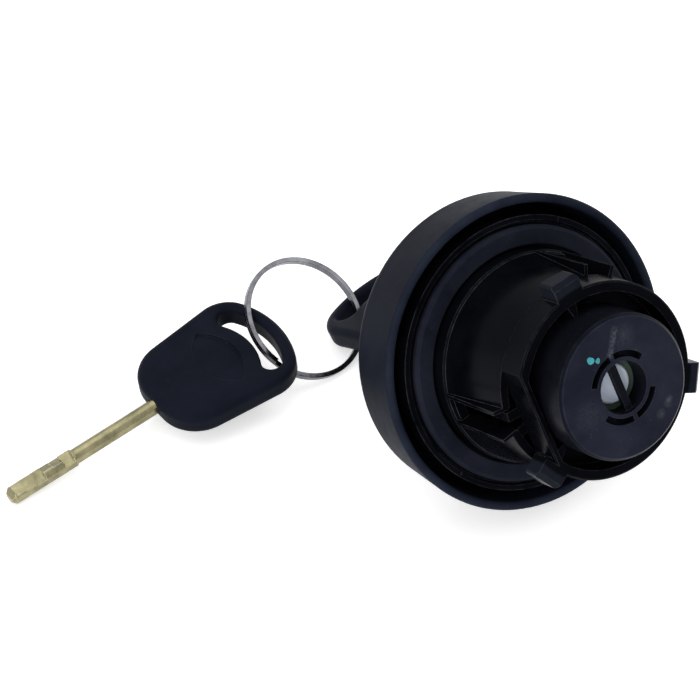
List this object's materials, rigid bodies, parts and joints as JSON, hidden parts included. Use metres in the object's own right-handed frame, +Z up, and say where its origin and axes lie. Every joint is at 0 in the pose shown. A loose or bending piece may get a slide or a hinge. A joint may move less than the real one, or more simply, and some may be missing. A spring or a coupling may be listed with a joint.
{
  "type": "locking fuel filler cap",
  "caption": "Round lockable fuel filler cap with a bayonet spigot, seal and relief valve, a rod key in its lock and a spare key on a split ring.",
  "frame": {"origin": "on the floor under the middle of the set's footprint", "axes": "+Z up from the floor; the cap leans in the YZ plane with its spigot towards -Y and up, and the spare key's blade points towards -X"},
  "size_m": [0.1496, 0.1242, 0.0791],
  "materials": {
    "cover_plastic": "fine texture",
    "closure_plastic": "moulded",
    "valve_plastic": "matte",
    "gasket_rubber": "dusty",
    "seal_rubber": "smooth",
    "valve_white": "moulded",
    "zinc": "die cast",
    "zinc_plated": "plated",
    "brass": "worn",
    "bow_plastic": "fine texture",
    "ring_steel": "nickel plated",
    "spring_steel": "bright"
  },
  "bodies": {
    "cover": {"outer_cover": "cover_plastic", "lock_bezel": "zinc_plated", "lock_housing": "zinc", "snap_ring": "spring_steel"},
    "lock": {"lock_plug": "zinc", "drive_cam": "zinc", "lock_sidebar": "brass", "tumbler_disc_1": "brass", "tumbler_disc_2": "brass", "tumbler_disc_3": "brass", "tumbler_disc_4": "brass", "tumbler_disc_5": "brass", "tumbler_disc_6": "brass", "tumbler_disc_7": "brass", "tumbler_disc_8": "brass"},
    "closure": {"closure_flange": "closure_plastic", "closure_neck": "closure_plastic", "sealing_gasket": "gasket_rubber", "bayonet_ring": "closure_plastic", "valve_housing": "valve_plastic", "pressure_spring": "spring_steel"},
    "pressure_valve": {"pressure_plate": "valve_plastic", "valve_seal": "seal_rubber", "vacuum_spring": "spring_steel"},
    "vacuum_valve": {"vacuum_valve": "valve_white", "stem_clip": "valve_white"},
    "key_1": {"key_1_bow": "bow_plastic", "key_1_rod": "brass"},
    "ring": {"split_ring": "ring_steel"},
    "key_2": {"key_2_bow": "bow_plastic", "key_2_rod": "brass"}
  },
  "joints": [
    {"name": "closure_turn", "type": "hinge", "parent": "cover", "child": "closure", "pos_m": [0.0363, -0.01856, 0.04026], "axis": [0, -0.8835, 0.4685], "continuous": true},
    {"name": "lock_turn", "type": "hinge", "parent": "cover", "child": "lock", "pos_m": [0.0363, -0.01856, 0.04026], "axis": [0, -0.8835, 0.4685], "range_deg": [0, 90]},
    {"name": "pressure_valve_slide", "type": "slide", "parent": "closure", "child": "pressure_valve", "axis": [0, 0.8835, -0.4685], "range_m": [0, 0.002], "stiffness_N_per_m": 400, "springref_m": -0.001, "deforming": ["pressure_spring"]},
    {"name": "vacuum_valve_slide", "type": "slide", "parent": "pressure_valve", "child": "vacuum_valve", "axis": [0, -0.8835, 0.4685], "range_m": [0, 0.0006], "stiffness_N_per_m": 100, "springref_m": -0.001, "deforming": ["vacuum_spring"]},
    {"name": "key_1_slide", "type": "slide", "parent": "lock", "child": "key_1", "axis": [0, 0.8835, -0.4685], "range_m": [0, 0.045]},
    {"name": "ring_slide", "type": "hinge", "parent": "key_1", "child": "ring", "pos_m": [0.01536, 0.04735, 0.00979], "axis": [0.1731, -0.5072, 0.8443], "range_deg": [-15, 15]},
    {"name": "key_2_slide", "type": "hinge", "parent": "ring", "child": "key_2", "pos_m": [0.01536, 0.04735, 0.00979], "axis": [0.1731, -0.5072, 0.8443], "range_deg": [-15, 15]}
  ]
}
